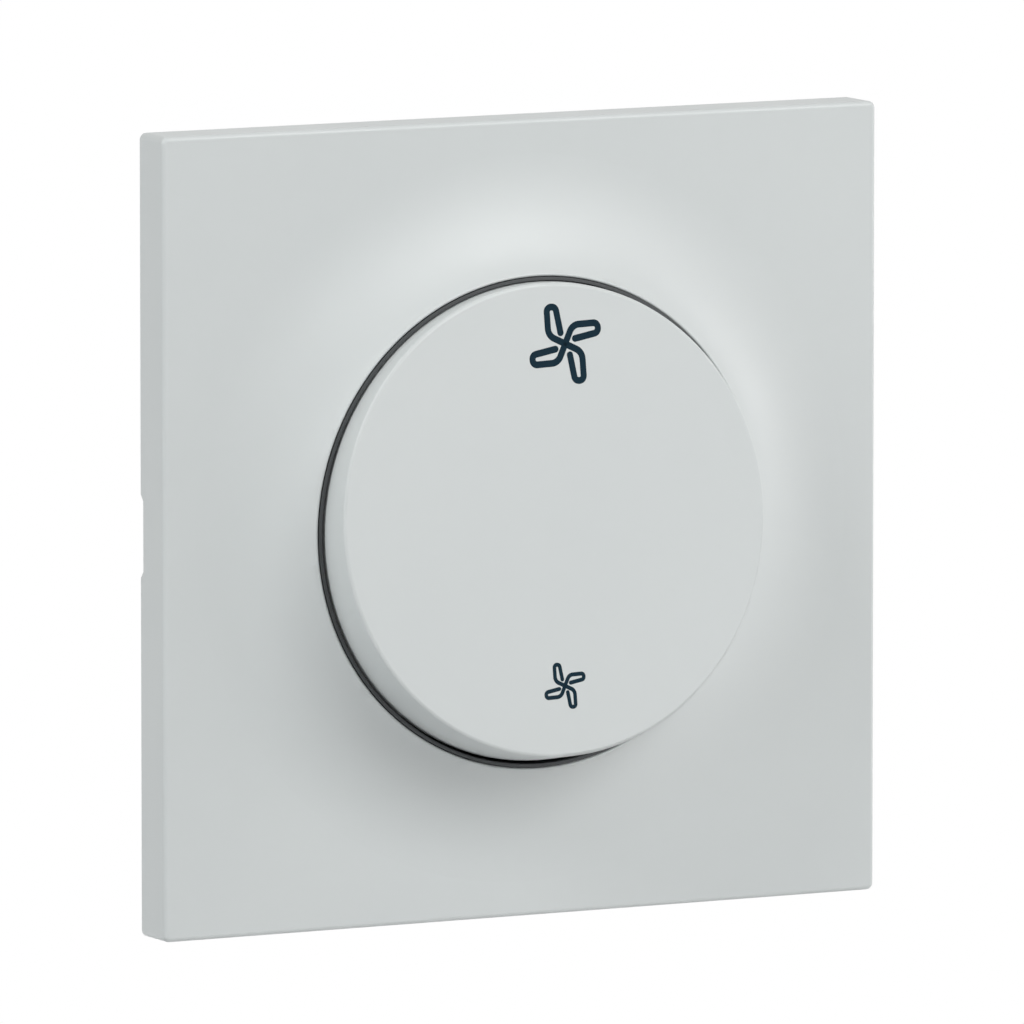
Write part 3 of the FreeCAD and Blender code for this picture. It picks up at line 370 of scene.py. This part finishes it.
def make_finishes():
    """Every finish by the name of its slot."""
    finishes = (
        Finish("white_plastic", (0.640, 0.672, 0.668), 0.42)
        .vary_colour(22.0, (0.628, 0.660, 0.658))
        .vary_roughness(9.0, 0.38, 0.46)
        .grain(0.35, 0.0006),
        Finish("dark_grey_plastic", (0.045, 0.050, 0.053), 0.55)
        .vary_colour(6.0, (0.052, 0.056, 0.058))
        .vary_roughness(3.0, 0.48, 0.62)
        .soft_edges(0.12)
        .grain(0.18, 0.004),
        Finish("light_grey_plastic", (0.52, 0.53, 0.53), 0.5)
        .vary_colour(8.0, (0.495, 0.505, 0.51))
        .vary_roughness(2.5, 0.44, 0.58)
        .soft_edges(0.15)
        .grain(0.2, 0.003),
        Finish("zinc_plated_steel", (0.46, 0.47, 0.485), 0.43, 1.0)
        .vary_colour(5.0, (0.41, 0.42, 0.44))
        .vary_roughness(1.2, 0.35, 0.52, (1, 1, 6))
        .soft_edges(0.1)
        .grain(0.12, 0.0015, (1, 1, 10)),
        Finish("natural_acetal", (0.82, 0.81, 0.76), 0.35)
        .vary_roughness(1.0, 0.3, 0.4)
        .grain(0.1, 0.001),
        Finish("spring_steel", (0.55, 0.55, 0.54), 0.25, 1.0)
        .vary_roughness(0.8, 0.18, 0.34)
        .grain(0.05, 0.0006, (1, 8, 1)),
        Finish("tinned_copper", (0.72, 0.70, 0.66), 0.3, 1.0)
        .vary_colour(1.5, (0.68, 0.63, 0.56))
        .vary_roughness(0.8, 0.24, 0.38)
        .soft_edges(0.05),
        Finish("silver", (0.86, 0.86, 0.84), 0.22, 1.0)
        .vary_roughness(0.5, 0.16, 0.3)
        .grain(0.06, 0.0006),
        Finish("brass_sheet", (0.78, 0.62, 0.32), 0.3, 1.0)
        .vary_colour(3.0, (0.72, 0.55, 0.27))
        .vary_roughness(1.0, 0.24, 0.4, (1, 6, 1))
        .soft_edges(0.06),
        Finish("red_plastic", (0.42, 0.05, 0.04), 0.4)
        .vary_roughness(1.5, 0.34, 0.46)
        .soft_edges(0.08)
        .grain(0.15, 0.001),
        Finish("button_plastic", (0.28, 0.30, 0.31), 0.4)
        .vary_roughness(1.5, 0.34, 0.46)
        .soft_edges(0.08)
        .grain(0.15, 0.001),
        Finish("sign_ink", (0.011, 0.029, 0.044), 0.5, specular=0.02)
        .vary_colour(0.6, (0.014, 0.033, 0.048))
        .vary_roughness(0.4, 0.42, 0.58),
    )
    return {finish.name: finish.done() for finish in finishes}


def dress_nodes(frame, finishes):
    """Each carried-over node gets the finish of its slot."""
    slots = {part["node"]: part["material_slot"] for part in frame["record"]["subparts"]}
    for node, piece in frame["nodes"].items():
        piece.data.materials.clear()
        piece.data.materials.append(finishes[slots[node]])


# Studio


def ray_is(kinds, nodes, links):
    """1 where the ray is of one of these kinds, and 0 elsewhere."""
    path = nodes.new("ShaderNodeLightPath")
    result = path.outputs[kinds[0]]
    for kind in kinds[1:]:
        larger = nodes.new("ShaderNodeMath")
        larger.operation = "MAXIMUM"
        links.new(result, larger.inputs[0])
        links.new(path.outputs[kind], larger.inputs[1])
        result = larger.outputs["Value"]
    return result


def make_floor():
    """A plain pale floor well below the switch, open when looked at from underneath."""
    material = bpy.data.materials.new("pale_floor")
    material.use_nodes = True
    nodes, links = material.node_tree.nodes, material.node_tree.links
    shader = nodes["Principled BSDF"]
    shader.inputs["Base Color"].default_value = (FLOOR_GREY, FLOOR_GREY, FLOOR_GREY, 1)
    shader.inputs["Roughness"].default_value = FLOOR_ROUGHNESS
    shader.inputs["Emission Color"].default_value = (1, 1, 1, 1)
    glow = nodes.new("ShaderNodeMath")
    glow.operation = "MULTIPLY"
    glow.inputs[1].default_value = FLOOR_GLOW
    links.new(ray_is(("Is Camera Ray", "Is Glossy Ray"), nodes, links), glow.inputs[0])
    links.new(glow.outputs["Value"], shader.inputs["Emission Strength"])
    behind = nodes.new("ShaderNodeNewGeometry")
    clear = nodes.new("ShaderNodeBsdfTransparent")
    mix = nodes.new("ShaderNodeMixShader")
    links.new(behind.outputs["Backfacing"], mix.inputs["Fac"])
    links.new(shader.outputs["BSDF"], mix.inputs[1])
    links.new(clear.outputs["BSDF"], mix.inputs[2])
    links.new(mix.outputs["Shader"], nodes["Material Output"].inputs["Surface"])
    h, low = FLOOR_HALF, -FLOOR_DROP
    mesh = bpy.data.meshes.new("floor")
    corners = [(-h, -h, low), (h, -h, low), (h, h, low), (-h, h, low)]
    mesh.from_pydata(corners, [], [(0, 1, 2, 3)])
    mesh.materials.append(material)
    floor = add_object("floor", mesh)


def make_world():
    """A white surround for the camera and reflections, and a gentle even light for the rest."""
    world = bpy.data.worlds.new("studio")
    world.use_nodes = True
    bpy.context.scene.world = world
    nodes, links = world.node_tree.nodes, world.node_tree.links
    background = nodes["Background"]
    background.inputs["Color"].default_value = (1, 1, 1, 1)
    level = nodes.new("ShaderNodeMapRange")
    level.inputs["To Min"].default_value = AMBIENT
    level.inputs["To Max"].default_value = 1.0
    seen = ray_is(("Is Camera Ray", "Is Glossy Ray", "Is Transmission Ray"), nodes, links)
    links.new(seen, level.inputs["Value"])
    links.new(level.outputs["Result"], background.inputs["Strength"])


def softbox(name, place, size, power, colour=(1, 1, 1), spread=180):
    """A square soft light that points at the switch, in metres, watts and degrees of spread."""
    light = bpy.data.lights.new(name, "AREA")
    light.shape = "SQUARE"
    light.size = size
    light.energy = power
    light.color = colour
    light.spread = math.radians(spread)
    lamp = add_object(name, light)
    lamp.location = place
    lamp.rotation_euler = (-Vector(place)).to_track_quat("-Z", "Y").to_euler()
    lamp.visible_camera = False


def make_lights():
    """A key from above and the right, a raking light from the upper left, three fills, one behind."""
    softbox("key_softbox", (0.32, -0.71, 0.45), 0.5, 4.3)
    softbox("upper_left_softbox", (-0.68, -0.16, 0.58), 0.3, 3.4, (1.0, 0.98, 0.97))
    softbox("right_softbox", (0.90, -0.35, 0.15), 0.5, 2.4, (1.0, 0.98, 0.98))
    softbox("left_softbox", (-0.90, -0.30, 0.10), 0.5, 1.45, (0.90, 0.96, 1.0))
    softbox("low_softbox", (0.40, -0.10, -0.28), 0.25, 0.08)
    softbox("rear_softbox", (0.25, 1.1, -0.46), 0.9, 1.2, spread=60)


def make_camera():
    """The camera of the photograph: a long lens, turned to the left side and raised a little."""
    turn, rise = math.radians(CAMERA_TURN), math.radians(CAMERA_RISE)
    back = Vector((math.sin(turn) * math.cos(rise), -math.cos(turn) * math.cos(rise), math.sin(rise)))
    lens = bpy.data.cameras.new("camera")
    lens.sensor_width = SENSOR_WIDTH
    lens.lens = CAMERA_LENS
    lens.clip_start = 0.1
    lens.clip_end = 20.0
    camera = add_object("camera", lens)
    camera.location = (Vector(AIM) + back * CAMERA_DISTANCE) * MM
    camera.rotation_euler = (-back).to_track_quat("-Z", "Y").to_euler()
    bpy.context.scene.camera = camera


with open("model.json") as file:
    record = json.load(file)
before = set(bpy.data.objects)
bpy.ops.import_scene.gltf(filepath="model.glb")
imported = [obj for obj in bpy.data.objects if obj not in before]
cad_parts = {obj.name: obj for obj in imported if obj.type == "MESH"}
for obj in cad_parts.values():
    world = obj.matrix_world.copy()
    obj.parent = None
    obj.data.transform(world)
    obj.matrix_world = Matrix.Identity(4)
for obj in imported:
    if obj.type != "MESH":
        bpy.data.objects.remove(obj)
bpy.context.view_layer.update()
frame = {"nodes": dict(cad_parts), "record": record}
bpy.context.scene.view_settings.view_transform = "Standard"

finishes = make_finishes()
dress_nodes(frame, finishes)
fan_sign("large_sign", LARGE_SIGN_PLACE, 1.0, LARGE_SIGN_STROKE, finishes["sign_ink"])
fan_sign("small_sign", SMALL_SIGN_PLACE, SMALL_SIGN_SCALE, SMALL_SIGN_STROKE, finishes["sign_ink"])
plunger_coil(finishes["spring_steel"])
for cell in CELLS:
    for side in ("left", "right"):
        yielding_leaf(frame, f"{cell}_clamp_{side}", finishes["spring_steel"])
make_floor()
make_world()
make_lights()
make_camera()
